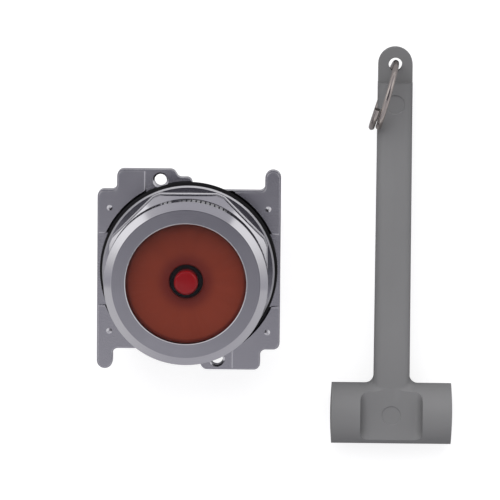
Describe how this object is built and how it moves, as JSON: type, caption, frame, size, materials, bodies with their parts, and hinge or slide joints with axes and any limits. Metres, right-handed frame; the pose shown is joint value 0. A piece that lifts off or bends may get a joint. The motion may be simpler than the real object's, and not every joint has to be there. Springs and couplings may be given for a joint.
{
  "type": "break-glass push button",
  "caption": "Panel push-button operator whose plunger is held in by a glass disc under a knurled ring, with the small hammer that breaks the glass.",
  "frame": {"origin": "on the operator's axis, in the plane where the casting's corner pads meet the back of the panel", "axes": "+Z out of the front face towards the user, +Y up along the hammer's handle, +X right towards the hammer"},
  "size_m": [0.0811, 0.0912, 0.042],
  "materials": {
    "cast_metal": "zinc die casting, satin plated, slightly grainy",
    "turned_metal": "machined and satin plated, fine turning marks",
    "black_rubber": "matt moulded rubber",
    "clear_glass": "clear sheet glass, ground edge",
    "red_face": "moulded, dull red",
    "red_cap": "moulded, glossy red",
    "pale_plastic": "moulded acetal, natural",
    "spring_steel": "bright zinc plated",
    "dark_steel": "nickel plated, darkened",
    "hammer_grey": "die cast, dull grey"
  },
  "bodies": {
    "operator": {"housing": "cast_metal", "panel_gasket": "black_rubber", "mounting_nut": "turned_metal", "glass_gasket": "black_rubber", "face_dish": "red_face", "stem_seal": "black_rubber", "guide_bush": "pale_plastic", "stem_oring": "black_rubber", "bush_circlip": "spring_steel", "return_spring": "spring_steel"},
    "plunger": {"plunger": "pale_plastic", "button_tip": "red_cap", "spring_washer": "spring_steel", "rear_buffer": "black_rubber", "pusher_plate": "spring_steel", "stop_washer": "spring_steel", "e_clip": "spring_steel"},
    "glass": {"glass_disc": "clear_glass"},
    "glass_ring": {"glass_ring": "turned_metal"},
    "hammer": {"hammer": "hammer_grey"},
    "wire_ring": {"wire_ring": "dark_steel"}
  },
  "joints": [
    {"name": "glass_rise", "type": "slide", "parent": "operator", "child": "glass", "axis": [0, 0, 1], "range_m": [0, 0.0045]},
    {"name": "ring_unscrew", "type": "hinge", "parent": "glass", "child": "glass_ring", "pos_m": [0, 0, 0.017], "axis": [0, 0, 1], "range_deg": [0, 1080]},
    {"name": "plunger_release", "type": "slide", "parent": "operator", "child": "plunger", "axis": [0, 0, 1], "range_m": [0, 0.0045], "deforming": ["return_spring"]},
    {"name": "hammer_lift", "type": "slide", "parent": "operator", "child": "hammer", "axis": [0, 0, 1], "range_m": [0, 0.06]},
    {"name": "ring_swing", "type": "hinge", "parent": "hammer", "child": "wire_ring", "pos_m": [0.0464, 0.04635, -0.0093], "axis": [0, 0, 1], "range_deg": [-300, 0]}
  ],
  "couplings": [
    {"joint": "glass_rise", "follows": "ring_unscrew", "m_per_rad": 0.00023873},
    {"joint": "plunger_release", "follows": "ring_unscrew", "m_per_rad": 0.00023873}
  ]
}
